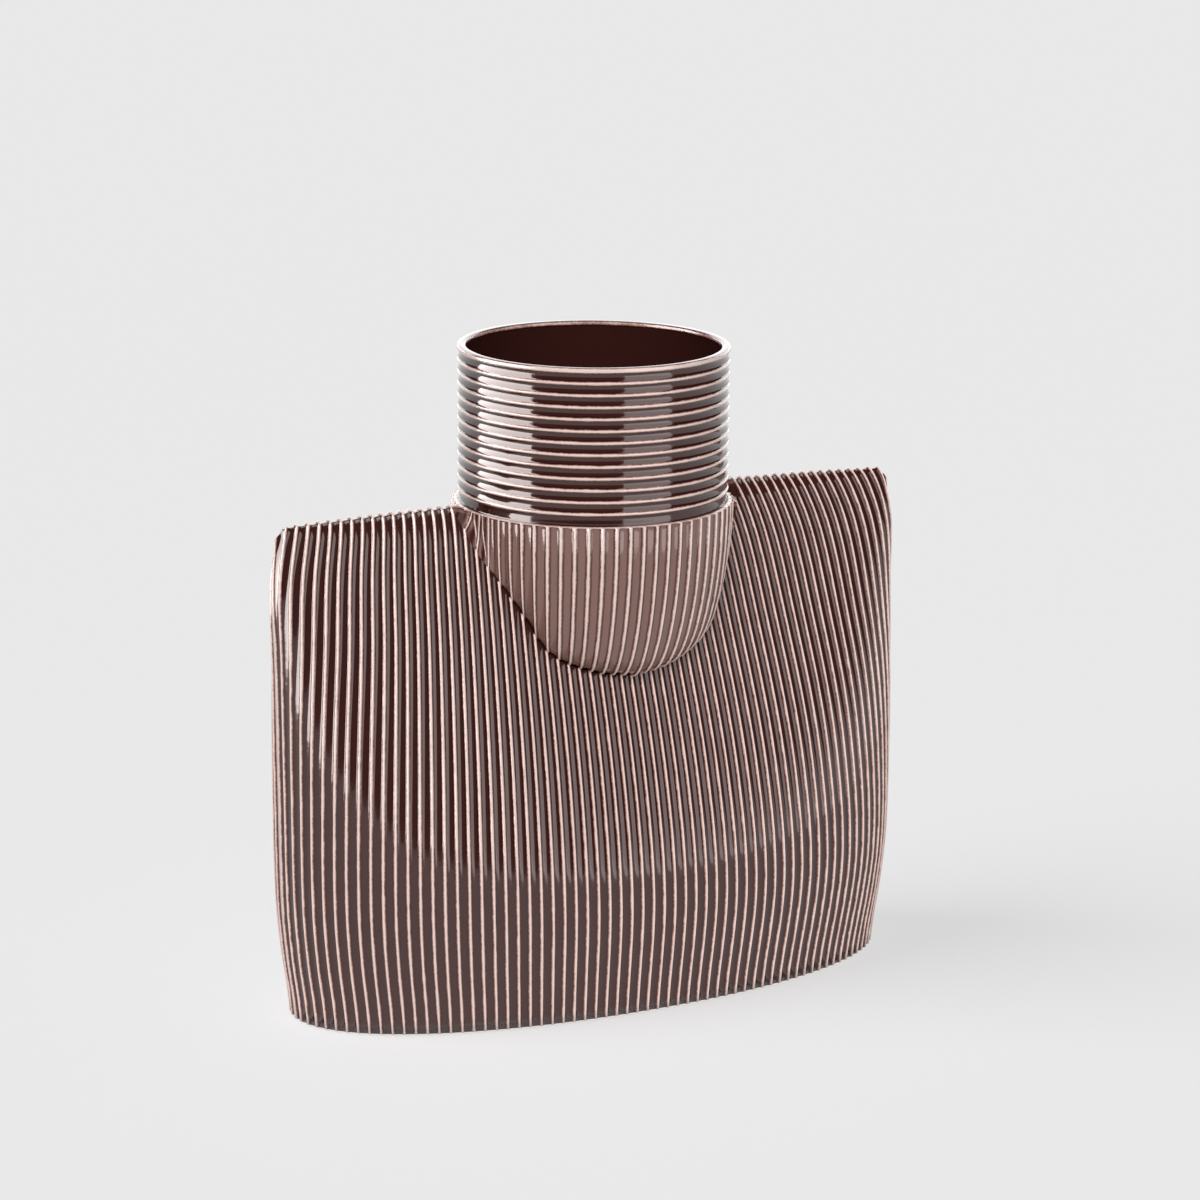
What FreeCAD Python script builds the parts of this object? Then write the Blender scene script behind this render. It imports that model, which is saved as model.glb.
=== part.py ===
"""Ribbed pillow vase in glazed stoneware.

A flat, swelling body of two ribbed walls that meet on a parting line, a round socket whose ribs
run on into the body's, a ringed collar that stands on the socket's ledge, and a floor with a bare
foot ring. Millimetres, +Z up, origin on the table under the middle, the broad front faces -Y.
"""
import FreeCAD, Part
import Sketcher
import math
import os

from FreeCAD import Vector

doc = FreeCAD.newDocument("pillow_vase")

# Driving dimensions
SIZES = (
    ("shoulder_half_width", 153.0),
    ("body_half_depth", 63.8),
    ("shoulder_height", 225.0),
    ("corner_drop", 6.0),
    ("wall_thickness", 4.0),
    ("rib_depth", 1.2),
    ("ribs_to_edge", 33),
    ("hollow_corner", 9.0),
    ("ledge_ribs_to_side", 16),
    ("ledge_radius", 62.4),
    ("ledge_width", 2.4),
    ("side_rib_clearance", 6.5460),
    ("ledge_height", 222.1),
    ("lobe_tip_height", 149.7),
    ("collar_radius", "=ledge_radius - ledge_width"),
    ("collar_wall", 4.0),
    ("mouth_radius", "=collar_radius - collar_wall"),
    ("ring_pitch", 5.165),
    ("ring_count", 13),
    ("ring_relief", 0.9),
    ("lip_height", 1.5),
    ("lip_round", 1.2),
    ("foot_height", 1.5),
    ("foot_inset", 2.2),
    ("foot_ring_width", 8.0),
    ("foot_recess", 1.0),
    ("floor_thickness", 5.0),
)
sheet = doc.addObject("Spreadsheet::Sheet", "Sizes")
for row, (alias, value) in enumerate(SIZES, start=1):
    sheet.set("A%d" % row, alias)
    sheet.set("B%d" % row, str(value))
    sheet.setAlias("B%d" % row, alias)
doc.recompute()


def size(alias):
    """The value that the sheet holds under this name."""
    return float(getattr(sheet, alias))


shoulder_half_width = size("shoulder_half_width")
body_half_depth = size("body_half_depth")
shoulder_height = size("shoulder_height")
corner_drop = size("corner_drop")
wall_thickness = size("wall_thickness")
rib_depth = size("rib_depth")
ribs_to_edge = int(size("ribs_to_edge"))
hollow_corner = size("hollow_corner")
ledge_ribs_to_side = int(size("ledge_ribs_to_side"))
ledge_radius = size("ledge_radius")
side_rib_clearance = size("side_rib_clearance")
ledge_height = size("ledge_height")
lobe_tip_height = size("lobe_tip_height")
collar_radius = size("collar_radius")
mouth_radius = size("mouth_radius")
ring_pitch = size("ring_pitch")
ring_count = int(size("ring_count"))
ring_relief = size("ring_relief")
lip_height = size("lip_height")
foot_height = size("foot_height")
foot_inset = size("foot_inset")
foot_ring_width = size("foot_ring_width")

# The plan outline: half width at shares of the height, half depth at shares of the way down a
# wall, where 0 is the ridge and 1 the foot, and how square the oval is at the foot and the ridge
half_width_shares = ((0.0, 0.944), (0.05, 0.952), (0.13, 0.968), (0.25, 0.982), (0.5, 0.988),
                     (0.75, 0.993), (0.9, 1.0), (1.0, 0.982))
half_depth_shares = ((0.0, 0.0), (0.25, 0.222), (0.5, 0.504), (0.75, 0.877), (0.88, 1.0),
                     (1.0, 0.925))
squareness_shares = (2.1, 0.9)
corner_sharpness_share = 10
# How far below the ridge each ledge rib meets the body, by its share of the way to the side
lobe_drop_shares = ((0.0, 1.0), (0.25, 0.953), (0.5, 0.82), (0.625, 0.61), (0.75, 0.42),
                    (0.875, 0.235), (1.0, 0.0))
# The socket's ribs swing a quarter turn at the front, and lose this share of it at the sides
lost_swing_share = 0.5
# The rows of points that the ribs run through, from their tops to their feet
rib_row_shares = (0.0, 0.1, 0.22, 0.36, 0.52, 0.67, 0.81, 0.9, 1.0)
lobe_row_shares = (0.0, 0.35, 0.7, 1.0)
# The hollow inside the walls: its rings, and the steps round a quarter of each
hollow_row_shares = (0.19, 0.3, 0.45, 0.62, 0.8, 0.92, 1.0)
hollow_lobe_shares = (0.3, 0.6, 1.0)
hollow_quarter_steps = 8
hollow_corner_sharpness_share = 6
foot_quarter_steps = 16


def follow(shares, place):
    """A smooth value at this place in a table of places and shares."""
    last = len(shares) - 1
    step = 0
    while step < last - 1 and place > shares[step + 1][0]:
        step += 1

    def slope(index):
        low = shares[max(index - 1, 0)]
        high = shares[min(index + 1, last)]
        return (high[1] - low[1]) / (high[0] - low[0])

    start, end = shares[step], shares[step + 1]
    span = end[0] - start[0]
    part = (place - start[0]) / span
    rise = part * part * (3 - 2 * part)
    lead = part * (1 - part) ** 2
    trail = part * part * (part - 1)
    return (start[1] + (end[1] - start[1]) * rise
            + span * (slope(step) * lead + slope(step + 1) * trail))


def half_width(height_share):
    return shoulder_half_width * follow(half_width_shares, height_share)


def half_depth(way_down):
    return body_half_depth * follow(half_depth_shares, way_down)


def outline_point(width, depth, height_share, share):
    """The point at this share of the way round a quarter of a plan outline, from middle to end."""
    power = squareness_shares[0] + squareness_shares[1] * height_share ** 2
    steps = 60
    corners = []
    for step in range(steps + 1):
        turn = math.pi / 2 * step / steps
        across = width * math.sin(turn) ** (2 / power)
        corners.append((across, depth * max(math.cos(turn), 0) ** (2 / power)))
    lengths = [0.0]
    for before, after in zip(corners, corners[1:]):
        lengths.append(lengths[-1] + math.hypot(after[0] - before[0], after[1] - before[1]))
    wanted = abs(share) * lengths[-1]
    step = 0
    while step < steps - 1 and wanted > lengths[step + 1]:
        step += 1
    part = (wanted - lengths[step]) / (lengths[step + 1] - lengths[step])
    across = corners[step][0] + part * (corners[step + 1][0] - corners[step][0])
    across = min(across, width)
    out = depth * (1 - (across / width) ** power) ** (1 / power)
    return math.copysign(across, share), out


def gather_at_ridge():
    """How far the ribs gather, so that the socket's last one runs just outside the ledge."""
    side_share = ledge_ribs_to_side / ribs_to_edge
    even_place = half_width(1) * side_share
    return (1 - (ledge_radius + side_rib_clearance) / even_place) / (1 - side_share ** 2)


rib_gather = gather_at_ridge()


def crest_point(rib, way_down):
    """A point on the crest of a front wall's rib, counted from the middle of the vase.

    The ribs stand at even steps round each level, and gather a little towards the neck. The ridge
    is level along the shoulder and drops at its corners.
    """
    share = rib / ribs_to_edge
    height_share = 1 - way_down ** 2
    gather = rib_gather * (1 - share ** 2) * height_share ** 2
    width = half_width(height_share)
    across, out = outline_point(width, half_depth(way_down), height_share, share * (1 - gather))
    ridge = shoulder_height - corner_drop * abs(across / width) ** corner_sharpness_share
    return Vector(across, -out, foot_height + (ridge - foot_height) * height_share)


def meeting_place(rib):
    """How far down its wall a ledge rib meets the body: at the ridge for the last ones."""
    share = min(abs(rib) / ledge_ribs_to_side, 1)
    drop = (shoulder_height - lobe_tip_height) / (shoulder_height - foot_height)
    return math.sqrt(drop * max(follow(lobe_drop_shares, share), 0))


def lobe_point(rib, way_down):
    """A point on the crest of a socket rib: upright below the ledge, then round to the body."""
    turn = math.pi / 2 * rib / ledge_ribs_to_side
    start = Vector(ledge_radius * math.sin(turn), -ledge_radius * math.cos(turn), ledge_height)
    end = crest_point(rib, meeting_place(rib))
    whole_swing = math.pi / 2 * (1 - lost_swing_share * (rib / ledge_ribs_to_side) ** 2)
    swing = whole_swing * way_down
    point = start + (end - start) * ((1 - math.cos(swing)) / (1 - math.cos(whole_swing)))
    point.z = start.z + (end.z - start.z) * math.sin(swing) / math.sin(whole_swing)
    return point


def inward(surface, rib, way_down):
    """The unit normal into the clay at a point of a ribbed surface."""
    nudge = 0.002
    along = surface(rib + nudge * ribs_to_edge, way_down) - surface(rib - nudge * ribs_to_edge, way_down)
    descent = (surface(rib, min(way_down + nudge, 1)) - surface(rib, max(way_down - nudge, 0)))
    return along.cross(descent).normalize()


def is_valley(half_step):
    return half_step % 2 == 1


def body_point(half_step, way_down):
    """A point of a wall's rib crest, or of the valley beside it at an odd half step."""
    rib = half_step / 2
    point = crest_point(rib, way_down)
    if is_valley(half_step):
        point += inward(crest_point, rib, way_down) * rib_depth
        if way_down == 0:
            point.y = 0
        if way_down == 1:
            point.z = foot_height
    return point


def meeting_point(half_step):
    """Where a socket rib or valley runs into the body's."""
    rib = half_step / 2
    place = meeting_place(rib)
    point = crest_point(rib, place)
    if is_valley(half_step):
        body_normal = inward(crest_point, rib, place)
        lobe_normal = inward(lobe_point, rib, 1)
        point += (body_normal + lobe_normal) * (rib_depth / (1 + body_normal.dot(lobe_normal)))
    return point


def wall_row(row_share):
    """The points of one row across a wall, from the ridge or the socket to the foot.

    Each rib's rows share out its own drop, so that neighbours stay nearly level.
    """
    edge = 2 * ribs_to_edge
    points = []
    for half_step in range(-edge, edge + 1):
        top = 0
        if abs(half_step) < 2 * ledge_ribs_to_side:
            top = meeting_place(half_step / 2)
        if top > 0 and row_share == 0:
            points.append(meeting_point(half_step))
        else:
            drop = top ** 2 + (1 - top ** 2) * row_share ** 2
            points.append(body_point(half_step, math.sqrt(drop)))
    return points


def lobe_row(row_share):
    """The points of one row across a socket lobe, from side to side."""
    neck = 2 * ledge_ribs_to_side
    points = []
    for half_step in range(-neck, neck + 1):
        rib = half_step / 2
        point = lobe_point(rib, row_share)
        if row_share == 1:
            point = meeting_point(half_step)
        elif is_valley(half_step):
            point += inward(lobe_point, rib, row_share) * rib_depth
        if row_share == 0:
            point.z = ledge_height
        points.append(point)
    return points


def on_parting_plane(point):
    return Vector(point.x, 0, point.z)


def seat_line():
    """The points where the socket's ribs meet the body's, from side to side."""
    neck = 2 * ledge_ribs_to_side
    return [meeting_point(half_step) for half_step in range(-neck, neck + 1)]


def polygon_face(points):
    """The flat face inside these points, which may repeat one where an edge has no length."""
    corners = [points[0]]
    for point in points[1:]:
        if point.distanceToPoint(corners[-1]) > 0:
            corners.append(point)
    if corners[0].distanceToPoint(corners[-1]) > 0:
        corners.append(corners[0])
    return Part.Face(Part.makePolygon(corners))


def seat_faces():
    """The faces, level from front to back, on which a socket lobe sits on its wall."""
    line = seat_line()
    faces = []
    for one, other in zip(line, line[1:]):
        faces.append(polygon_face([one, other, on_parting_plane(other), on_parting_plane(one)]))
    return faces


def skin_faces(rows):
    """The facets between rows of rib points, each split along its shorter diagonal."""
    faces = []
    for above, below in zip(rows, rows[1:]):
        for index in range(len(above) - 1):
            corners = [above[index], above[index + 1], below[index + 1], below[index]]
            first = corners[0].distanceToPoint(corners[2])
            second = corners[1].distanceToPoint(corners[3])
            if second < first:
                corners = corners[1:] + corners[:1]
            faces.append(polygon_face([corners[0], corners[1], corners[2]]))
            faces.append(polygon_face([corners[2], corners[3], corners[0]]))
    return faces


def block_of_clay(rows, flats):
    """The solid between a ribbed skin and flat faces."""
    solid = Part.makeSolid(Part.makeShell(skin_faces(rows) + flats))
    if solid.Volume < 0:
        solid.reverse()
    return solid


def ribbed_wall():
    """Half the body as a block: ribbed in front, flat at the foot and on the parting plane."""
    rows = [wall_row(row_share) for row_share in rib_row_shares]
    left_end = [row[0] for row in rows]
    right_end = [row[-1] for row in rows]
    shoulder = 2 * (ribs_to_edge - ledge_ribs_to_side)
    top = rows[0][:shoulder] + [on_parting_plane(point) for point in seat_line()]
    top += rows[0][-shoulder:]
    parting = top + right_end[1:] + left_end[:0:-1]
    flats = seat_faces() + [polygon_face(rows[-1]), polygon_face(parting)]
    return block_of_clay(rows, flats)


def ribbed_lobe():
    """Half the socket as a block, from the ledge down to its seat on the wall."""
    rows = [lobe_row(row_share) for row_share in lobe_row_shares]
    left_side = [row[0] for row in rows]
    right_side = [row[-1] for row in rows]
    parting = left_side[:-1] + [on_parting_plane(point) for point in seat_line()]
    parting += right_side[-2::-1]
    flats = seat_faces() + [polygon_face(rows[0]), polygon_face(parting)]
    return block_of_clay(rows, flats)


def oval(width, depth, height_share, height, quarter_steps):
    """The corners of a closed plan outline at this height."""
    quarter = []
    for step in range(quarter_steps + 1):
        quarter.append(outline_point(width, depth, height_share, step / quarter_steps))
    right = [(across, -out) for across, out in quarter]
    right += [(across, out) for across, out in quarter[-2::-1]]
    around = right + [(-across, out) for across, out in right[-2::-1]]
    return [Vector(across, out, height) for across, out in around]


def hollow_oval(way_down):
    """A ring of the hollow, a wall's thickness inside the ribs, square to the slope of the wall."""
    height_share = 1 - way_down ** 2
    nudge = 0.01
    low = max(way_down - nudge, 0)
    high = min(way_down + nudge, 1)
    fall = (shoulder_height - foot_height) * (high ** 2 - low ** 2)
    lean = (half_depth(high) - half_depth(low)) / fall
    clay = wall_thickness + rib_depth
    drawn_in = hollow_corner * height_share ** hollow_corner_sharpness_share
    width = half_width(height_share) - clay - drawn_in
    depth = half_depth(way_down) - clay * math.hypot(1, lean)
    height = foot_height + (shoulder_height - foot_height) * height_share
    return oval(width, depth, height_share, height, hollow_quarter_steps)


def body_hollow():
    """The space inside the two walls, from the floor's underside up into the shoulder."""
    rings = [hollow_oval(way_down) for way_down in hollow_row_shares]
    return block_of_clay(rings, [polygon_face(rings[0]), polygon_face(rings[-1])])


def socket_hollow():
    """The round space inside the socket: as wide as the mouth, drawn in below to meet the body's."""
    tip = crest_point(0, meeting_place(0))
    drawn_in = ledge_radius + tip.y
    drop = ledge_height - lobe_tip_height - wall_thickness
    side = [Vector(mouth_radius, 0, ledge_height + wall_thickness)]
    for share in hollow_lobe_shares:
        swing = math.pi / 2 * share
        side.append(Vector(mouth_radius - drawn_in * (1 - math.cos(swing)), 0,
                           ledge_height - drop * math.sin(swing)))
    side.append(Vector(side[-1].x, 0, side[-1].z - 2 * wall_thickness))
    on_axis = [Vector(0, 0, side[-1].z), Vector(0, 0, side[0].z)]
    return polygon_face(side + on_axis).revolve(Vector(0, 0, 0), Vector(0, 0, 1), 360)


def shape_feature(name, shape):
    """A piece of clay that no plain feature makes, as an object of the document."""
    feature = doc.addObject("Part::Feature", name)
    feature.Shape = shape
    feature.Placement = FreeCAD.Placement()
    return feature


def mirrored(name, source):
    """The same piece on the far side of the parting plane."""
    copy = doc.addObject("Part::Mirroring", name)
    copy.Source = source
    copy.Normal = Vector(0, 1, 0)
    return copy


def cut(name, base, tool):
    result = doc.addObject("Part::Cut", name)
    result.Base = base
    result.Tool = tool
    return result


def fuse(name, pieces):
    result = doc.addObject("Part::MultiFuse", name)
    result.Shapes = pieces
    return result


def extrusion(name, outline, height):
    """A flat outline raised by a height that the sheet gives."""
    block = doc.addObject("Part::Extrusion", name)
    block.Base = outline
    block.DirMode = "Custom"
    block.Dir = Vector(0, 0, 1)
    block.Solid = True
    block.setExpression("LengthFwd", height)
    return block


def make_walls(hollow):
    """The two ribbed walls, mirror images that meet on the parting line."""
    front = cut("FrontWall", shape_feature("FrontWallBlock", ribbed_wall()), hollow)
    front.Label = "front_wall"
    back = mirrored("BackWall", front)
    back.Label = "back_wall"
    return front, back


def make_socket(hollow):
    """The ribbed socket: two lobes joined under the ledge, open right through."""
    front = shape_feature("FrontLobe", ribbed_lobe())
    both = fuse("Lobes", [front, mirrored("BackLobe", front)])
    bored = cut("BoredLobes", both, shape_feature("SocketHollow", socket_hollow()))
    socket = cut("NeckSocket", bored, hollow)
    socket.Label = "neck_socket"
    return socket


def closed_sketch(body, name, corners):
    """A closed line on the parting plane.

    Each corner has its distances from both axes, and the sheet's words that hold it there.
    """
    sketch = body.newObject("Sketcher::SketchObject", name)
    for plane in body.Origin.OriginFeatures:
        if plane.Role == "XZ_Plane":
            sketch.AttachmentSupport = [(plane, "")]
    sketch.MapMode = "FlatFace"
    count = len(corners)
    for index in range(count):
        across, height = corners[index][:2]
        next_across, next_height = corners[(index + 1) % count][:2]
        line = Part.LineSegment(Vector(across, height, 0), Vector(next_across, next_height, 0))
        sketch.addGeometry(line, False)
    for index in range(count):
        sketch.addConstraint(Sketcher.Constraint("Coincident", index, 2, (index + 1) % count, 1))
    for index, (across, height, across_words, height_words) in enumerate(corners):
        number = sketch.addConstraint(Sketcher.Constraint("DistanceX", -1, 1, index, 1, across))
        sketch.setExpression("Constraints[%d]" % number, across_words)
        number = sketch.addConstraint(Sketcher.Constraint("DistanceY", -1, 1, index, 1, height))
        sketch.setExpression("Constraints[%d]" % number, height_words)
    return sketch


def revolution(body, name, profile):
    """A profile on the parting plane turned right round the vase's axis."""
    turned = body.newObject("PartDesign::Revolution", name)
    turned.Profile = profile
    turned.ReferenceAxis = (profile, ["V_Axis"])
    return turned


def make_collar():
    """The ringed collar: one waisted ring repeated up from the ledge, and a lip with softened edges."""
    body = doc.addObject("PartDesign::Body", "Collar")
    body.Label = "ringed_collar"
    mouth_words = "Sizes.mouth_radius"
    crest_words = "Sizes.collar_radius"
    ledge_words = "Sizes.ledge_height"
    ring_top = ledge_height + ring_pitch
    ring_top_words = ledge_words + " + Sizes.ring_pitch"
    ring_profile = closed_sketch(body, "RingProfile", (
        (mouth_radius, ledge_height, mouth_words, ledge_words),
        (collar_radius, ledge_height, crest_words, ledge_words),
        (collar_radius - ring_relief, ledge_height + ring_pitch / 2,
         crest_words + " - Sizes.ring_relief", ledge_words + " + Sizes.ring_pitch / 2"),
        (collar_radius, ring_top, crest_words, ring_top_words),
        (mouth_radius, ring_top, mouth_words, ring_top_words),
    ))
    ring = revolution(body, "Ring", ring_profile)
    doc.recompute()
    stack = body.newObject("PartDesign::LinearPattern", "Rings")
    stack.Originals = [ring]
    stack.Direction = (ring_profile, ["V_Axis"])
    stack.setExpression("Length", "Sizes.ring_pitch * (Sizes.ring_count - 1)")
    stack.setExpression("Occurrences", "Sizes.ring_count")
    body.Tip = stack
    doc.recompute()
    lip_foot = ledge_height + ring_pitch * ring_count
    lip_foot_words = ledge_words + " + Sizes.ring_pitch * Sizes.ring_count"
    lip_top_words = lip_foot_words + " + Sizes.lip_height"
    lip_profile = closed_sketch(body, "LipProfile", (
        (mouth_radius, lip_foot, mouth_words, lip_foot_words),
        (collar_radius, lip_foot, crest_words, lip_foot_words),
        (collar_radius, lip_foot + lip_height, crest_words, lip_top_words),
        (mouth_radius, lip_foot + lip_height, mouth_words, lip_top_words),
    ))
    lip = revolution(body, "Lip", lip_profile)
    doc.recompute()
    rims = []
    for index, edge in enumerate(lip.Shape.Edges, start=1):
        if edge.BoundBox.ZMin > lip.Shape.BoundBox.ZMax - lip_height / 2:
            rims.append("Edge%d" % index)
    softening = body.newObject("PartDesign::Chamfer", "LipSoftening")
    softening.Base = (lip, rims)
    softening.setExpression("Size", "Sizes.lip_round")
    body.Tip = softening
    return body


def foot_outline(name, inset):
    """The plan outline at the foot, this far inside the ribs, as a flat face on the table."""
    corners = oval(half_width(0) - inset, half_depth(1) - inset, 0, 0, foot_quarter_steps)
    return shape_feature(name, polygon_face(corners))


def make_floor():
    """The floor: a bare foot under the walls, hollowed inside its ring, and a slab between them."""
    foot = extrusion("Foot", foot_outline("FootOutline", foot_inset), "Sizes.foot_height")
    slab_corners = hollow_oval(1)
    for corner in slab_corners:
        corner.z = 0
    slab = extrusion("Slab", shape_feature("SlabOutline", polygon_face(slab_corners)),
                     "Sizes.foot_height + Sizes.floor_thickness")
    recess_outline = foot_outline("RecessOutline", foot_inset + foot_ring_width)
    recess = extrusion("Recess", recess_outline, "Sizes.foot_recess")
    base = cut("FloorSlab", fuse("FootAndSlab", [foot, slab]), recess)
    base.Label = "floor_slab"
    return base


def check(pieces):
    """Every object has been made, and every piece of the vase is one sound solid."""
    for item in doc.Objects:
        if "Invalid" in item.State or "Error" in item.State:
            raise RuntimeError("%s could not be made" % item.Label)
    for piece in pieces:
        if piece.Shape.isNull() or not piece.Shape.isValid() or len(piece.Shape.Solids) != 1:
            raise RuntimeError("%s is not one sound solid" % piece.Label)


hollow = shape_feature("BodyHollow", body_hollow())
front_wall, back_wall = make_walls(hollow)
pieces = [front_wall, back_wall, make_socket(hollow), make_collar(), make_floor()]
doc.recompute()
check(pieces)
os.makedirs("parts", exist_ok=True)
for piece in pieces:
    print("%s: %.0f cubic mm" % (piece.Label, piece.Shape.Volume))
    piece.Shape.exportStep("parts/%s.step" % piece.Label)
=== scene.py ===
import math

import bmesh
import bpy
import numpy as np
from mathutils import Matrix, Vector


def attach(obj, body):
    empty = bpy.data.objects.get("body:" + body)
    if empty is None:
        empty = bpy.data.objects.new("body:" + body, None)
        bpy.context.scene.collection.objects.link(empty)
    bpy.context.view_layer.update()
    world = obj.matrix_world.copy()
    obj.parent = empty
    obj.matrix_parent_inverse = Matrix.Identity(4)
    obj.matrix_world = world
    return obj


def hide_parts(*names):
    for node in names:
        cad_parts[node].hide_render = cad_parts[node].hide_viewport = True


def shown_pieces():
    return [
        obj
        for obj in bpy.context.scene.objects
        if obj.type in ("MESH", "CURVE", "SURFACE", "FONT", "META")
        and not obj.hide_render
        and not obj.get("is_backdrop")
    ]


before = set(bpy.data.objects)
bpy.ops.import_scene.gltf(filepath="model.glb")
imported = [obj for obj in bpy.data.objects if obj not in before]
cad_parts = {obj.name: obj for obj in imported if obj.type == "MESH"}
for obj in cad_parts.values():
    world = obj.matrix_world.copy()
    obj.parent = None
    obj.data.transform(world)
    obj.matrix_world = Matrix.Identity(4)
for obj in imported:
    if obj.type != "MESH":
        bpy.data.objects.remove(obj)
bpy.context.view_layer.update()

# The two walls of the body. Slip-cast stoneware, a swelling front and its mirror image behind,
# each pressed with narrow ribs that run from the ridge or the socket down to the foot. Under the
# glaze the ribs are rounder than the bare part's, and the shoulder's corners softer.
MM = 0.001

# The body's outline: a squarish oval at every level, squarest at the ridge. Shares of the full
# half width stand by share of the height, and of the full half depth by share of the way down.
HALF_WIDTH = 153 * MM
HALF_DEPTH = 63.8 * MM
RIDGE_HEIGHT = 225 * MM
FOOT_HEIGHT = 1.5 * MM
CORNER_ROUND = 7 * MM
SHOULDER_FALL = 2.3 * MM
FOOT_SQUARENESS = 2.1
MORE_AT_RIDGE = 0.9
HALF_WIDTHS = ((0.0, 0.944), (0.05, 0.952), (0.13, 0.968), (0.25, 0.982), (0.5, 0.988),
               (0.75, 0.993), (0.9, 1.0), (1.0, 0.99))
HALF_DEPTHS = ((0.0, 0.0), (0.25, 0.222), (0.5, 0.504), (0.75, 0.877), (0.88, 1.0), (1.0, 0.925))
QUARTER_STEPS = 60

# The ribs, counted from the middle to the end of the body
RIBS_TO_EDGE = 33
RIB_DEPTH = 1.2 * MM
RIB_GATHER = 0.07
CREST_SHARE = 0.13
WALL = 4 * MM
GLAZE_ROLL = 0.7 * MM
NO_NORMAL_OUT = 0.001 * MM

# The socket that the middle ribs start from. By share of the way to its last rib, LOBE_DROPS
# gives how far down its ribs run into the body's, from 1 at the lobe's tip to 0 at the ridge.
LEDGE_RIBS = 16
LEDGE_RADIUS = 62.4 * MM
LEDGE_HEIGHT = 222.1 * MM
LOBE_TIP = 149.7 * MM
LOBE_DROPS = ((0.0, 1.0), (0.25, 0.953), (0.5, 0.82), (0.625, 0.61), (0.75, 0.42),
              (0.875, 0.235), (1.0, 0.0))
LOST_SWING = 0.5

# How finely the surfaces are drawn
WALL_ROWS = 74
COLUMNS_IN_A_RIB = (0.0, 0.05, 0.1, 0.15, 0.25, 0.5, 0.75, 0.85, 0.9, 0.95)
SHARP_EDGE = math.radians(62)

# What from_crest holds at a valley's bottom, and on the inside of the vessel
IN_VALLEY = 0.5
DEEP_INSIDE = 1.0


def follow(table, place):
    """The smooth value at each place in a table of places and values."""
    places, values = np.array(table).T
    before = np.clip(np.arange(len(places)) - 1, 0, None)
    after = np.clip(np.arange(len(places)) + 1, None, len(places) - 1)
    slopes = (values[after] - values[before]) / (places[after] - places[before])
    step = np.searchsorted(places[1:-1], place)
    span = places[step + 1] - places[step]
    part = (place - places[step]) / span
    rise = part * part * (3 - 2 * part)
    lead = part * (1 - part) ** 2
    trail = part * part * (part - 1)
    return (values[step] + (values[step + 1] - values[step]) * rise
            + span * (slopes[step] * lead + slopes[step + 1] * trail))


def outline_points(width, depth, height_share, share):
    """Points at these shares of the way round a quarter of each level's oval."""
    power = FOOT_SQUARENESS + MORE_AT_RIDGE * height_share ** 2
    turn = np.linspace(0, math.pi / 2, QUARTER_STEPS + 1)
    corner_x = width[..., None] * np.sin(turn) ** (2 / power[..., None])
    corner_y = depth[..., None] * np.abs(np.cos(turn)) ** (2 / power[..., None])
    edges = np.hypot(np.diff(corner_x), np.diff(corner_y))
    lengths = np.concatenate((np.zeros_like(edges[..., :1]), np.cumsum(edges, axis=-1)), axis=-1)
    wanted = np.abs(share) * lengths[..., -1]
    step = (lengths[..., 1:] < wanted[..., None]).sum(-1)
    step = np.clip(step, 0, QUARTER_STEPS - 1)[..., None]

    def pick(values, places):
        return np.take_along_axis(values, places, -1)[..., 0]

    part = (wanted - pick(lengths, step)) / (pick(lengths, step + 1) - pick(lengths, step))
    across = pick(corner_x, step) + part * (pick(corner_x, step + 1) - pick(corner_x, step))
    across = np.minimum(across, width)
    out = depth * (1 - (across / width) ** power) ** (1 / power)
    return np.copysign(across, share), out


def wall_crest(rib, way_down):
    """Points on the rib crests of the front wall, with ribs counted from the middle."""
    rib, way_down = np.broadcast_arrays(rib, way_down)
    share = rib / RIBS_TO_EDGE
    height_share = 1 - way_down ** 2
    gather = RIB_GATHER * (1 - share ** 2) * height_share ** 2
    width = HALF_WIDTH * follow(HALF_WIDTHS, height_share)
    depth = HALF_DEPTH * follow(HALF_DEPTHS, way_down)
    across, out = outline_points(width, depth, height_share, share * (1 - gather))
    past = np.clip((np.abs(across) - width) / CORNER_ROUND + 1, 0, 1)
    ridge = RIDGE_HEIGHT - CORNER_ROUND * (1 - np.sqrt(1 - past ** 2))
    ridge = ridge - SHOULDER_FALL * np.abs(across / width) ** 3
    return np.stack((across, -out, FOOT_HEIGHT + (ridge - FOOT_HEIGHT) * height_share), -1)


def meeting_place(rib):
    """How far down the wall each ledge rib runs into the body's."""
    drop = (RIDGE_HEIGHT - LOBE_TIP) / (RIDGE_HEIGHT - FOOT_HEIGHT)
    fall = follow(LOBE_DROPS, np.minimum(np.abs(rib) / LEDGE_RIBS, 1))
    return np.sqrt(drop * np.maximum(fall, 0))


def lobe_crest(rib, way_down):
    """Points on the socket's rib crests: upright below the ledge, then round to the body."""
    rib, way_down = np.broadcast_arrays(rib, way_down)
    turn = math.pi / 2 * rib / LEDGE_RIBS
    start = np.stack((LEDGE_RADIUS * np.sin(turn), -LEDGE_RADIUS * np.cos(turn),
                      np.full(turn.shape, LEDGE_HEIGHT)), -1)
    end = wall_crest(rib, meeting_place(rib))
    whole_swing = (math.pi / 2 * (1 - LOST_SWING * (rib / LEDGE_RIBS) ** 2))[..., None]
    swing = whole_swing * way_down[..., None]
    points = start + (end - start) * (1 - np.cos(swing)) / (1 - np.cos(whole_swing))
    points[..., 2] = (start + (end - start) * np.sin(swing) / np.sin(whole_swing))[..., 2]
    return points


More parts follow.
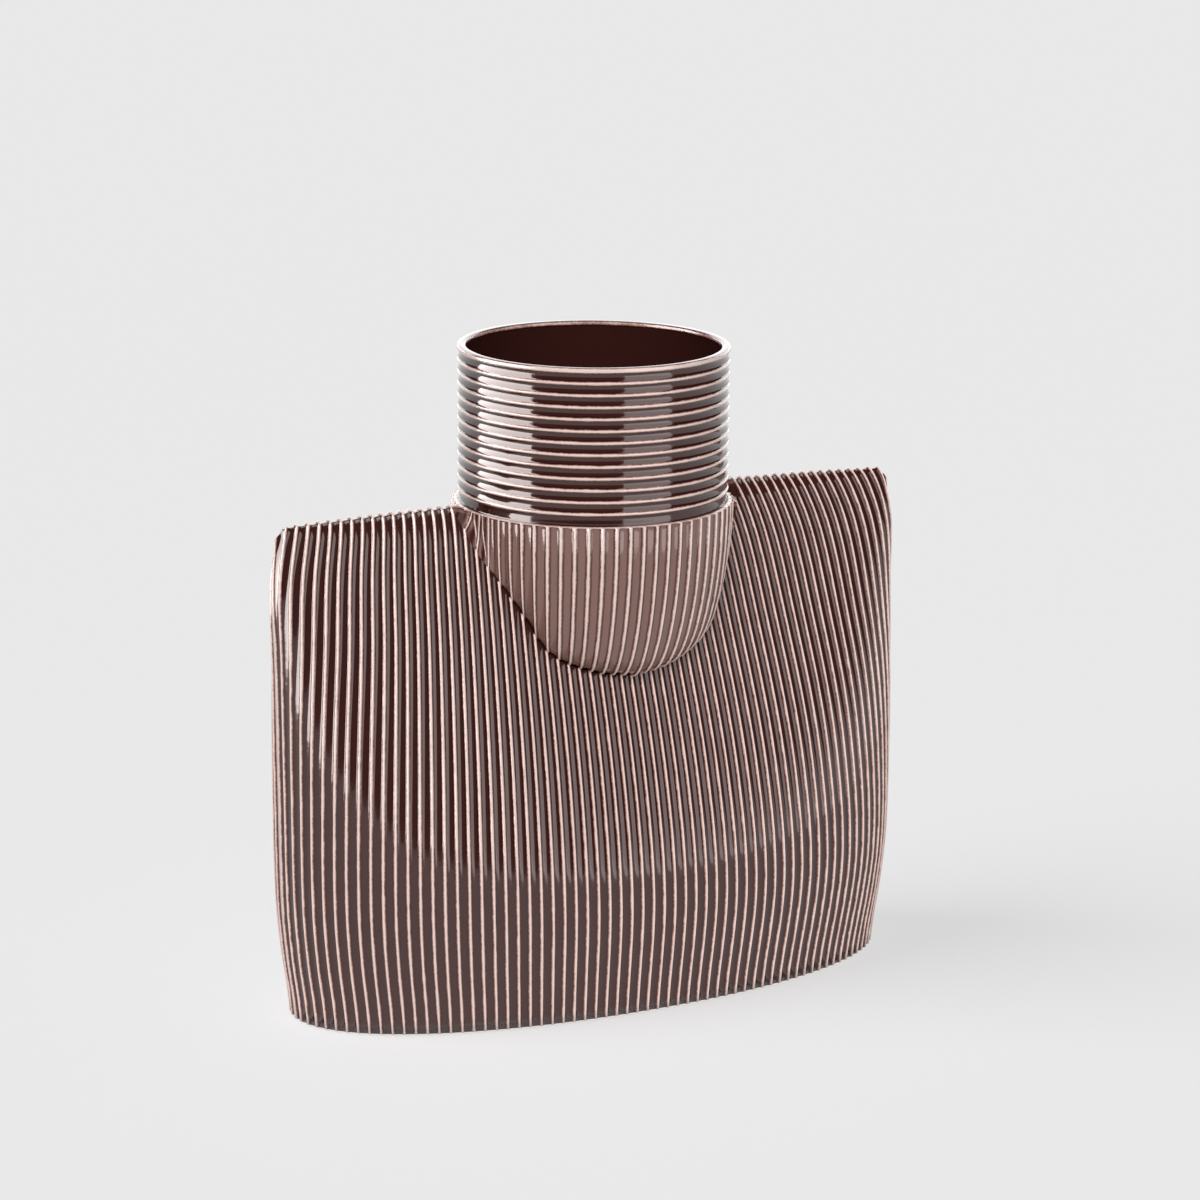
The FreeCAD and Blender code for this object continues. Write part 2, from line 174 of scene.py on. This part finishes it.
def inward(surface, rib, way_down):
    """Unit normals into the clay. On the parting plane they lie in it."""
    nudge = 0.002
    rib_nudge = nudge * RIBS_TO_EDGE
    along = surface(rib + rib_nudge, way_down) - surface(rib - rib_nudge, way_down)
    descent = (surface(rib, np.minimum(way_down + nudge, 1))
               - surface(rib, np.maximum(way_down - nudge, 0)))
    normals = np.cross(along, descent)
    normals[..., 1][np.abs(surface(rib, way_down)[..., 1]) < NO_NORMAL_OUT] = 0
    return normals / np.linalg.norm(normals, axis=-1, keepdims=True)


def rib_columns(ribs):
    """Rib places across a run of ribs, closest together where a rib's crest turns."""
    places = [rib + part for rib in range(-ribs, ribs) for part in COLUMNS_IN_A_RIB]
    return np.array(places + [ribs], float)


def from_crest(rib):
    """How far a place is from the nearest rib's crest, as a share of the rib spacing."""
    return np.abs(rib - np.round(rib))


def rib_relief(rib):
    """How high the surface stands, from 0 in the scooped valley to 1 on the narrow crest."""
    distance = from_crest(rib)
    crest = np.exp(-(distance / CREST_SHARE) ** 3)
    scoop = ((IN_VALLEY - distance) / IN_VALLEY) ** 2
    return (crest + scoop) / 2


def meeting_points(rib):
    """The line where the socket's ribs and valleys run into the body's."""
    place = meeting_place(rib)
    body = inward(wall_crest, rib, place)
    lobe = inward(lobe_crest, rib, np.ones_like(rib))
    sink = RIB_DEPTH * (1 - rib_relief(rib)) / (1 + (body * lobe).sum(-1))
    return wall_crest(rib, place) + (body + lobe) * sink[:, None]


def clay_sheet(outer, inner, crest_distance):
    """A bmesh of clay between two sheets of points, closed round its rims, with sharp rims."""
    rows, columns = outer.shape[:2]
    clay = bmesh.new()
    bmesh.ops.create_grid(clay, x_segments=columns - 1, y_segments=rows - 1, size=1)
    place = clay.verts.layers.int.new("place")
    distance = clay.verts.layers.float.new("from_crest")
    outside = outer.reshape(-1, 3)
    inside = inner.reshape(-1, 3)
    far = np.broadcast_to(crest_distance, (rows, columns)).reshape(-1)
    for number, vert in enumerate(clay.verts):
        vert[place] = number
        vert[distance] = far[number]
        vert.co = outside[number]
    made = bmesh.ops.extrude_face_region(clay, geom=clay.faces[:], use_keep_orig=True)
    for vert in made["geom"]:
        if isinstance(vert, bmesh.types.BMVert):
            vert.co = inside[vert[place]]
            vert[distance] = DEEP_INSIDE
    for face in clay.faces:
        face.smooth = True
    for edge in clay.edges:
        edge.smooth = edge.calc_face_angle(0) < SHARP_EDGE
    bmesh.ops.recalc_face_normals(clay, faces=clay.faces[:])
    return clay


def mirror_to_back(clay, verts, faces):
    """Moves them behind the parting plane, with the faces still outwards."""
    bmesh.ops.transform(clay, matrix=Matrix.Scale(-1, 4, (0, 1, 0)), verts=verts)
    bmesh.ops.reverse_faces(clay, faces=faces)


def placed(name, form, material):
    """The object made from a bmesh, in the scene."""
    mesh = bpy.data.meshes.new(name)
    form.to_mesh(mesh)
    form.free()
    mesh.materials.append(material)
    item = bpy.data.objects.new(name, mesh)
    bpy.context.scene.collection.objects.link(item)
    return item


def finished(name, clay, material, node):
    """The piece that stands for a node, in the frame's own place."""
    piece = placed(name, clay, material)
    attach(piece, "root")
    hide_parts(node)


def colour(code):
    """An sRGB hex code as linear light."""
    parts = [int(code[start:start + 2], 16) / 255 for start in (1, 3, 5)]
    linear = [part / 12.92 if part <= 0.04045 else ((part + 0.055) / 1.055) ** 2.4
              for part in parts]
    return (*linear, 1.0)


def empty_tree(owner):
    """The cleared node tree of a material or a world."""
    owner.use_nodes = True
    owner.node_tree.nodes.clear()
    return owner.node_tree


def add(tree, kind, settings=None, **links):
    """A node with its settings, and its inputs set to values or joined to other nodes' outputs."""
    node = tree.nodes.new(kind)
    for name, value in (settings or {}).items():
        setattr(node, name, value)
    for name, value in links.items():
        key = int(name[1:]) if name[0] == "i" and name[1:].isdigit() else name.replace("_", " ")
        if isinstance(value, bpy.types.NodeSocket):
            tree.links.new(value, node.inputs[key])
        else:
            node.inputs[key].default_value = value
    return node


def set_ramp(node, stops):
    """Sets a colour ramp's stops, given as places and hex codes."""
    elements = node.color_ramp.elements
    elements.remove(elements[0])
    elements[0].position = stops[0][0]
    elements[0].color = colour(stops[0][1])
    for position, code in stops[1:]:
        elements.new(position).color = colour(code)


# Sizes of the glaze's patterns. Its runs are a few millimetres long, its beads about one, and
# its melted skin ripples gently.
RUN_SIZE = 6.667 * MM
BEAD_SIZE = 1.25 * MM
RIPPLE_SIZE = 3.846 * MM


def plum_glaze(name, valley):
    """Glossy aubergine stoneware glaze, fired over pale clay.

    It runs off the narrow ribs as it melts, so their crests break to a thin pinkish cream, the
    flanks turn red brown, and the valleys, where it pools, are dark and mirror bright. A near
    black line of painted shade lies along the foot of each flank, where the steep side falls into
    shadow.
    Its IOR is glass's, and a thin coat gives the sharpest part of the shine.
    """
    material = bpy.data.materials.new(name)
    tree = empty_tree(material)
    place = add(tree, "ShaderNodeTexCoord").outputs["Object"]
    crest = add(tree, "ShaderNodeAttribute", {"attribute_name": "from_crest"}).outputs["Fac"]
    # The pale line's edge wanders with the runs and beads
    runs = add(tree, "ShaderNodeTexNoise", Vector=place, Scale=1 / RUN_SIZE, Detail=2.0)
    beads = add(tree, "ShaderNodeTexNoise", Vector=place, Scale=1 / BEAD_SIZE, Detail=1.0)
    shift = add(tree, "ShaderNodeMath", {"operation": "MULTIPLY_ADD"},
                i0=runs.outputs["Fac"], i1=0.09, i2=-0.045)
    edge = add(tree, "ShaderNodeMath", {"operation": "MULTIPLY_ADD"},
               i0=beads.outputs["Fac"], i1=0.07, i2=shift.outputs[0])
    ragged = add(tree, "ShaderNodeMath", {"operation": "ADD"}, i0=crest, i1=edge.outputs[0])
    tint = add(tree, "ShaderNodeValToRGB", Fac=ragged.outputs[0])
    # Cream crest, tan edge, red brown flank, a dark line of painted shade at the foot of each
    # steep flank, valley, and the inside of the vessel
    set_ramp(tint, ((0.1, "#e2cbc3"), (0.145, "#b58b80"), (0.18, "#643a33"), (0.225, "#1c0d0b"),
                    (0.34, valley), (0.55, valley), (0.7, "#3c1d19")))
    rough = add(tree, "ShaderNodeMapRange", Value=ragged.outputs[0], From_Min=0.08, From_Max=0.2,
                To_Min=0.17, To_Max=0.09)
    skin = add(tree, "ShaderNodeTexNoise", Vector=place, Scale=1 / RIPPLE_SIZE, Detail=2.0)
    bump = add(tree, "ShaderNodeBump", Height=skin.outputs["Fac"], Strength=0.08,
               Distance=0.6 * MM)
    glaze = add(tree, "ShaderNodeBsdfPrincipled", Base_Color=tint.outputs["Color"],
                Roughness=rough.outputs["Result"], IOR=1.52, Specular_Tint=colour("#ffece8"),
                Coat_Weight=0.4, Coat_Roughness=0.04, Normal=bump.outputs["Normal"])
    add(tree, "ShaderNodeOutputMaterial", Surface=glaze.outputs["BSDF"])
    return material


glaze = plum_glaze("plum_stoneware_glaze", "#371b18")
wall_ribs = rib_columns(RIBS_TO_EDGE)
on_ledge = np.abs(wall_ribs) < LEDGE_RIBS
start = np.where(on_ledge, meeting_place(wall_ribs), 0)
row_shares = np.linspace(0, 1, WALL_ROWS + 1)[:, None]
way_down = np.sqrt(start ** 2 + (1 - start ** 2) * row_shares ** 2)
crests = wall_crest(wall_ribs, way_down)
into_clay = inward(wall_crest, wall_ribs, way_down)
sink = RIB_DEPTH * (1 - rib_relief(wall_ribs))[:, None]
wall_outside = crests + into_clay * sink
wall_outside[0][on_ledge] = meeting_points(wall_ribs[on_ledge])
wall_outside[-1, :, 2] = GLAZE_ROLL
wall_inside = crests + into_clay * (RIB_DEPTH + WALL)
wall_inside[..., 1] = np.minimum(wall_inside[..., 1], 0)
wall_inside[-1, :, 2] = FOOT_HEIGHT
for name, node in (("front_wall_glazed", "front_wall"), ("back_wall_glazed", "back_wall")):
    clay = clay_sheet(wall_outside, wall_inside, from_crest(wall_ribs))
    if node == "back_wall":
        mirror_to_back(clay, clay.verts[:], clay.faces[:])
    finished(name, clay, glaze, node)

# The socket. It is cast with the walls: its ribs stand under the ledge like a fluted drum, swing
# out one to one into the body's ribs, and its top is the pale-edged ledge round the collar.
LOBE_ROWS = 40
BORE = 56 * MM
COLLAR_RADIUS = 60 * MM
TIP_RISE = 0.8 * MM
EDGE_FALL = 1.0 * MM

# The ledge from its bore to its edge: each ring's radius, its glaze as in from_crest, and its
# shares of the rise of the ribs' tips and of the fall of the edge
LEDGE_RINGS = ((BORE, DEEP_INSIDE, 0.0, 0.0),
               (COLLAR_RADIUS, 0.3, 0.0, 0.0),
               (COLLAR_RADIUS + 0.3 * MM, 0.09, 0.0, 0.05),
               (LEDGE_RADIUS - 0.9 * MM, 0.07, 0.4, 0.4))

# Beside the ridge, ribs wider than WIDEST_RIB keep a narrow pale line, and from rib DARKER_FROM
# on the glaze darkens over the next few to the walls' plum, fading out the socket's painted
# reflection.
WIDEST_RIB = 6.2 * MM
DARKER_FROM = 10
DARKENED_OVER = 4
DARKER_BY = 0.5
lobe_ribs = rib_columns(LEDGE_RIBS)
row_shares = np.linspace(0, 1, LOBE_ROWS + 1)[:, None]
crests = lobe_crest(lobe_ribs, row_shares)
into_clay = inward(lobe_crest, lobe_ribs, row_shares)
sink = RIB_DEPTH * (1 - rib_relief(lobe_ribs))[:, None]
lobe_outside = crests + into_clay * sink
lobe_outside[-1] = meeting_points(lobe_ribs)
lobe_outside[0, :, 2] = LEDGE_HEIGHT - EDGE_FALL + TIP_RISE * rib_relief(lobe_ribs)
lobe_inside = crests + into_clay * (RIB_DEPTH + WALL)
lobe_inside[..., 1] = np.minimum(lobe_inside[..., 1], 0)
inner_ribs = np.clip(lobe_ribs, 0.5 - LEDGE_RIBS, LEDGE_RIBS - 0.5)
spread = lobe_crest(inner_ribs + 0.5, row_shares) - lobe_crest(inner_ribs - 0.5, row_shares)
widening = np.clip(np.linalg.norm(spread, axis=-1) / WIDEST_RIB, 1, None)
darker = np.clip((np.abs(lobe_ribs) - DARKER_FROM) / DARKENED_OVER, 0, 1)
darkening = 1 + DARKER_BY * darker
lobe_distance = np.clip(from_crest(lobe_ribs) * widening, 0, IN_VALLEY) * darkening
turn = math.pi / 2 * lobe_ribs / LEDGE_RIBS
ledge, ledge_under, ledge_distance = [], [], []
for radius, distance, tip_share, fall_share in LEDGE_RINGS:
    level = (LEDGE_HEIGHT - EDGE_FALL * fall_share
             + TIP_RISE * tip_share * rib_relief(lobe_ribs))
    ledge.append(np.stack((radius * np.sin(turn), -radius * np.cos(turn), level), -1))
    ledge_under.append(np.stack((BORE * np.sin(turn), -BORE * np.cos(turn),
                                 np.full_like(turn, LEDGE_HEIGHT - WALL)), -1))
    ledge_distance.append(np.full_like(turn, distance))
lobe_outside = np.concatenate((ledge, lobe_outside))
lobe_inside = np.concatenate((ledge_under, lobe_inside))
lobe_inside[..., 2] = np.minimum(lobe_inside[..., 2], LEDGE_HEIGHT - WALL)
lobe_distance = np.concatenate((ledge_distance, lobe_distance))
clay = clay_sheet(lobe_outside, lobe_inside, lobe_distance)
far_lobe = bmesh.ops.duplicate(clay, geom=clay.verts[:] + clay.edges[:] + clay.faces[:])["geom"]
far_verts = [item for item in far_lobe if isinstance(item, bmesh.types.BMVert)]
far_faces = [item for item in far_lobe if isinstance(item, bmesh.types.BMFace)]
mirror_to_back(clay, far_verts, far_faces)
# The socket uses the same glaze with its valleys painted a lighter, milkier plum: a painted
# reflection of the pale table
socket_glaze_painted_reflection = plum_glaze("plum_glaze_painted_table_reflection", "#78584f")
finished("neck_socket_glazed", clay, socket_glaze_painted_reflection, "neck_socket")

# The collar. It is the round neck, ringed with thirteen narrow crests over shallow scooped bands,
# with a rounded lip and a plain glazed bore, and it stands on the socket's ledge.
RING_PITCH = 5.165 * MM
RINGS = 13
RING_RELIEF = 0.9 * MM
LOWEST_SCOOP = 0.8 * RING_RELIEF
LIP_HEIGHT = 1.5 * MM
LIP_SQUARENESS = 0.6
LIP_GLAZE = (0.03, 0.12, 0.2, 0.24, 0.22, 0.16, 0.09, 0.12)
DARK_BAND = 0.3
TURN_STEPS = 288

# Half of the collar's section, from the ledge up over the lip and down the bore: each corner's
# radius, height and glaze. The lowest band is plain, and its glaze dark.
profile = []
for ring in range(RINGS):
    for part in COLUMNS_IN_A_RIB:
        low = RING_RELIEF * (1 - rib_relief(np.array(part)))
        crest_distance = min(part, 1 - part)
        if ring == 0 and part <= IN_VALLEY:
            crest_distance = DARK_BAND
            if part == 0:
                low = 0.0
            elif part < IN_VALLEY:
                low = LOWEST_SCOOP
        height = LEDGE_HEIGHT + (ring + part) * RING_PITCH
        profile.append((COLLAR_RADIUS - low, height, crest_distance))
lip_foot = LEDGE_HEIGHT + RINGS * RING_PITCH
profile.append((COLLAR_RADIUS, lip_foot, 0.0))
half_lip = (COLLAR_RADIUS - BORE) / 2
for step, crest_distance in enumerate(LIP_GLAZE, 1):
    turn = math.pi * step / len(LIP_GLAZE)
    reach = math.copysign(abs(math.cos(turn)) ** LIP_SQUARENESS, math.cos(turn))
    height = lip_foot + LIP_HEIGHT * math.sin(turn) ** LIP_SQUARENESS
    profile.append((BORE + half_lip + half_lip * reach, height, crest_distance))
profile.append((BORE, lip_foot - 1 * MM, DARK_BAND))
profile.append((BORE, LEDGE_HEIGHT + 20 * MM, IN_VALLEY))
profile.append((BORE, LEDGE_HEIGHT, IN_VALLEY))
clay = bmesh.new()
distance = clay.verts.layers.float.new("from_crest")
corners = []
for radius, height, crest_distance in profile:
    corner = clay.verts.new((radius, 0, height))
    corner[distance] = crest_distance
    corners.append(corner)
line = [clay.edges.new(pair) for pair in zip(corners, corners[1:] + corners[:1])]
bmesh.ops.spin(clay, geom=corners + line, cent=(0, 0, 0), axis=(0, 0, 1), angle=2 * math.pi,
               steps=TURN_STEPS, use_merge=True)
bmesh.ops.recalc_face_normals(clay, faces=clay.faces[:])
for face in clay.faces:
    face.smooth = True
finished("ringed_collar_glazed", clay, glaze, "ringed_collar")

# The floor and foot. The clay is left bare where the vase stood in the kiln: a pale ring of
# fired stoneware under the walls, recessed in the middle, with the slab above it inside.
FOOT_INSET = 2.2 * MM
FOOT_RING = 8 * MM
FOOT_RECESS = 1 * MM
FLOOR = 5 * MM

# The foot's worn edges, and how high its bare side shows below the walls' glaze
FOOT_EDGE = 0.6 * MM
EDGE_RISE = 0.4 * MM
UNDER_GLAZE = 0.9 * MM
FOOT_STEPS = 240

# The clay's sandy grain, and the soft clouds of its fired tone
GRIT_SIZE = 0.7143 * MM
CLOUD_SIZE = 22.22 * MM


def foot_outline(inset):
    """The closed oval of the foot, this far inside the ribs."""
    quarter = np.linspace(0, 1, FOOT_STEPS // 4 + 1)
    width = np.full(quarter.shape, HALF_WIDTH * HALF_WIDTHS[0][1] - inset)
    depth = np.full(quarter.shape, HALF_DEPTH * HALF_DEPTHS[-1][1] - inset)
    across, out = outline_points(width, depth, np.zeros_like(quarter), quarter)
    right = list(zip(across, -out)) + list(zip(across[-2::-1], out[-2::-1]))
    return right + [(-x, y) for x, y in right[-2:0:-1]]


def bare_stoneware():
    """Bare fired stoneware: a pale, dry, slightly sandy body that scatters light like chalk."""
    material = bpy.data.materials.new("bare_fired_stoneware")
    tree = empty_tree(material)
    place = add(tree, "ShaderNodeTexCoord").outputs["Object"]
    grit = add(tree, "ShaderNodeTexNoise", Vector=place, Scale=1 / GRIT_SIZE,
               Detail=3.0).outputs["Fac"]
    cloud = add(tree, "ShaderNodeTexNoise", Vector=place, Scale=1 / CLOUD_SIZE,
                Detail=2.0).outputs["Fac"]
    blend = add(tree, "ShaderNodeMath", {"operation": "MULTIPLY_ADD"}, i0=cloud, i1=0.6, i2=grit)
    tint = add(tree, "ShaderNodeValToRGB", Fac=blend.outputs[0])
    set_ramp(tint, ((0.45, "#94755b"), (0.7, "#b89a7c"), (1.0, "#cdb598")))
    bump = add(tree, "ShaderNodeBump", Height=grit, Strength=0.35, Distance=0.2 * MM)
    body = add(tree, "ShaderNodeBsdfPrincipled", Base_Color=tint.outputs["Color"],
               Roughness=0.85, IOR=1.5, Normal=bump.outputs["Normal"])
    add(tree, "ShaderNodeOutputMaterial", Surface=body.outputs["BSDF"])
    return material


# From the recess out over the foot's ring and up to the slab's top: each level's inset and height
foot_levels = ((FOOT_INSET + FOOT_RING + 1 * MM, FOOT_RECESS),
               (FOOT_INSET + FOOT_RING, EDGE_RISE),
               (FOOT_INSET + FOOT_RING - FOOT_EDGE, 0.0),
               (FOOT_INSET + FOOT_EDGE, 0.0),
               (FOOT_INSET, EDGE_RISE),
               (FOOT_INSET + EDGE_RISE, UNDER_GLAZE),
               (WALL + RIB_DEPTH, FOOT_HEIGHT),
               (WALL + RIB_DEPTH, FOOT_HEIGHT + FLOOR))
clay = bmesh.new()
rings = []
last_edges = []
for inset, height in foot_levels:
    ring = bmesh.ops.create_circle(clay, segments=FOOT_STEPS, radius=1, cap_ends=False)["verts"]
    for vert, (across, out) in zip(ring, foot_outline(inset)):
        vert.co = (across, out, height)
    ring_edges = [edge for edge in clay.edges if edge.verts[0] in ring and edge.verts[1] in ring]
    if rings:
        bmesh.ops.bridge_loops(clay, edges=last_edges + ring_edges)
    rings.append(ring)
    last_edges = ring_edges
bmesh.ops.contextual_create(clay, geom=rings[0])
bmesh.ops.contextual_create(clay, geom=rings[-1])
bmesh.ops.recalc_face_normals(clay, faces=clay.faces[:])
finished("foot_and_floor_bare", clay, bare_stoneware(), "floor_slab")

# The studio. A pale table with a camera placed as in the photo, a tall softbox on the left, a
# weaker panel on the right, a wide light overhead and a glow behind, with dim gaps between them
# that the glaze mirrors. The turns are in degrees, to the right as seen from the camera.
VIEW_TURN = math.radians(27)
VIEW_FALL = math.radians(14.13)
VIEW_ROLL = math.radians(0.52)
VIEW_DISTANCE = 1719 * MM
LOOK_ACROSS = 3.70 * MM
LOOK_HEIGHT = 174.9 * MM
FOCAL_SHARE = 3864 / 1200
SENSOR_WIDTH = 36
right = Vector((math.cos(VIEW_TURN), -math.sin(VIEW_TURN), 0))
away = Vector((math.sin(VIEW_TURN), math.cos(VIEW_TURN), 0))
forward = away * math.cos(VIEW_FALL) + Vector((0, 0, -math.sin(VIEW_FALL)))
upward = away * math.sin(VIEW_FALL) + Vector((0, 0, math.cos(VIEW_FALL)))
side = right * math.cos(VIEW_ROLL) + upward * math.sin(VIEW_ROLL)
top = upward * math.cos(VIEW_ROLL) - right * math.sin(VIEW_ROLL)
target = right * LOOK_ACROSS + Vector((0, 0, LOOK_HEIGHT))
camera_data = bpy.data.cameras.new("camera")
camera_data.sensor_width = SENSOR_WIDTH
camera_data.lens = SENSOR_WIDTH * FOCAL_SHARE
camera_data.clip_start = 0.05
camera_data.clip_end = 50
camera = bpy.data.objects.new("camera", camera_data)
bpy.context.scene.collection.objects.link(camera)
camera.matrix_world = Matrix((
    (side.x, top.x, -forward.x, 0), (side.y, top.y, -forward.y, 0), (side.z, top.z, -forward.z, 0),
    (0, 0, 0, 1)))
camera.location = target - forward * VIEW_DISTANCE
bpy.context.scene.camera = camera

# Matt white paper that is lit so evenly by the room that it seems to glow, with a faint shadow.
# It ends a little in front of the vase, in metres from the middle towards the camera and away.
TABLE_NEAR = -1.3
TABLE_FAR = 40.0
TABLE_HALF_WIDTH = 40.0
table_paper = bpy.data.materials.new("pale_paper")
tree = empty_tree(table_paper)
matt = add(tree, "ShaderNodeBsdfDiffuse", Color=colour("#b4b4b6"))
glow = add(tree, "ShaderNodeEmission", Color=colour("#fbfbfb"), Strength=0.68)
both = add(tree, "ShaderNodeAddShader", i0=matt.outputs[0], i1=glow.outputs[0])
add(tree, "ShaderNodeOutputMaterial", Surface=both.outputs[0])
paper = bmesh.new()
bmesh.ops.create_grid(paper, x_segments=4, y_segments=4, size=1)
for vert in paper.verts:
    back = TABLE_NEAR + (TABLE_FAR - TABLE_NEAR) * (1 + vert.co.y) / 2
    vert.co = right * (vert.co.x * TABLE_HALF_WIDTH) + away * back
table = placed("table", paper, table_paper)
table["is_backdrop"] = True

# The camera sees a pale backdrop, and the glaze mirrors a dim room.
room = bpy.data.worlds.new("studio_room")
bpy.context.scene.world = room
tree = empty_tree(room)
seen = add(tree, "ShaderNodeLightPath").outputs["Is Camera Ray"]
dim = add(tree, "ShaderNodeBackground", Color=colour("#ffffff"), Strength=0.035)
pale = add(tree, "ShaderNodeBackground", Color=colour("#eeeff1"), Strength=1.0)
choice = add(tree, "ShaderNodeMixShader", Fac=seen, i1=dim.outputs[0], i2=pale.outputs[0])
add(tree, "ShaderNodeOutputWorld", Surface=choice.outputs[0])


def towards(turn):
    """The level direction from the vase to a place this many degrees round from the camera."""
    bearing = math.radians(turn)
    return right * math.sin(bearing) - away * math.cos(bearing)


def lamp(name, kind, shine, receivers):
    """A lamp that shines along a direction on these receivers only."""
    data = bpy.data.lights.new(name, kind)
    light = bpy.data.objects.new(name, data)
    light.rotation_euler = shine.to_track_quat("-Z", "Y").to_euler()
    light.light_linking.receiver_collection = receivers
    bpy.context.scene.collection.objects.link(light)
    return light


def softbox(name, turn, distance, centre_height, width, height, radiance, aim_height):
    """A lit panel round the vase, aimed at a height on its axis."""
    place = towards(turn) * distance
    place.z = centre_height
    light = lamp(name, "AREA", Vector((0, 0, aim_height)) - place, vase_only)
    light.location = place
    light.data.shape = "RECTANGLE"
    light.data.size = width
    light.data.size_y = height
    light.data.energy = radiance * math.pi * width * height
    light.visible_camera = False
    return light


def window_light(name, turn, rise, strength, spread, receivers):
    """Soft light from a far window, this many degrees above the table. No glaze mirrors it."""
    up = math.radians(rise)
    source = towards(turn) * math.cos(up) + Vector((0, 0, math.sin(up)))
    light = lamp(name, "SUN", -source, receivers)
    light.data.energy = strength
    light.data.angle = math.radians(spread)
    light.visible_glossy = False


vase_only = bpy.data.collections.new("lit_by_softboxes")
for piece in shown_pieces():
    vase_only.objects.link(piece)
table_only = bpy.data.collections.new("lit_by_window")
table_only.objects.link(table)
left_box = softbox("left_softbox", turn=-81, distance=0.75, centre_height=0.5, width=0.85,
                   height=1.0, radiance=9.5, aim_height=0.5)
right_box = softbox("right_panel", turn=46, distance=0.62, centre_height=0.44, width=0.48,
                    height=0.86, radiance=2.3, aim_height=0.42)
softbox("overhead", turn=180, distance=0.5, centre_height=1.5, width=1.2, height=0.8,
        radiance=2.5, aim_height=0.1)
softbox("backdrop_glow", turn=180, distance=6.0, centre_height=1.6, width=11.0, height=4.2,
        radiance=2.0, aim_height=0.3)
# The two panels are only mirrored, and the windows give the soft light of those sides.
for box in (left_box, right_box):
    box.visible_diffuse = False
window_light("table_window", turn=-73, rise=45, strength=1.35, spread=40, receivers=table_only)
window_light("front_window", turn=-2, rise=40, strength=3.1, spread=30, receivers=vase_only)

scene = bpy.context.scene
scene.view_settings.view_transform = "Standard"
scene.view_settings.look = "None"
